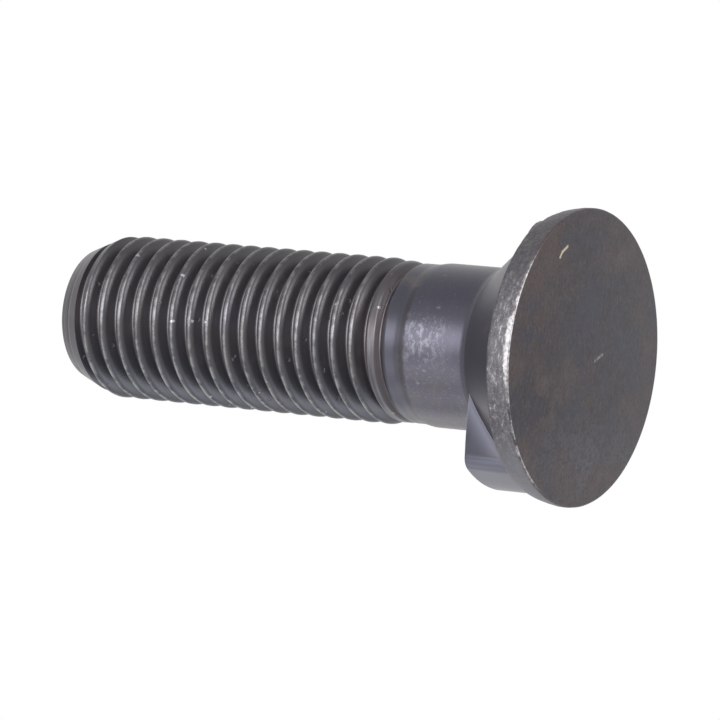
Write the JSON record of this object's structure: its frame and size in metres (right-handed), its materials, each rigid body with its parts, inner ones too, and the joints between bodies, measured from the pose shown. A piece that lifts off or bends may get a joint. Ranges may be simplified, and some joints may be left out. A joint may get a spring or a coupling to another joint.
{
  "type": "plow bolt",
  "caption": "Flat round countersunk head bolt with keys behind the head, a plain shank and a coarse rolled thread, for holding shares and wear parts flush.",
  "frame": {"origin": "centre of the flat head face", "axes": "+Z along the shank to the threaded end, so it stands on its head; +X towards one key, -X towards the other"},
  "size_m": [0.039, 0.039, 0.0766],
  "materials": {
    "steel": "dark grey heat-treated steel, satin, with light scuffs"
  },
  "bodies": {
    "root": {"plow_bolt": "steel"}
  },
  "joints": []
}
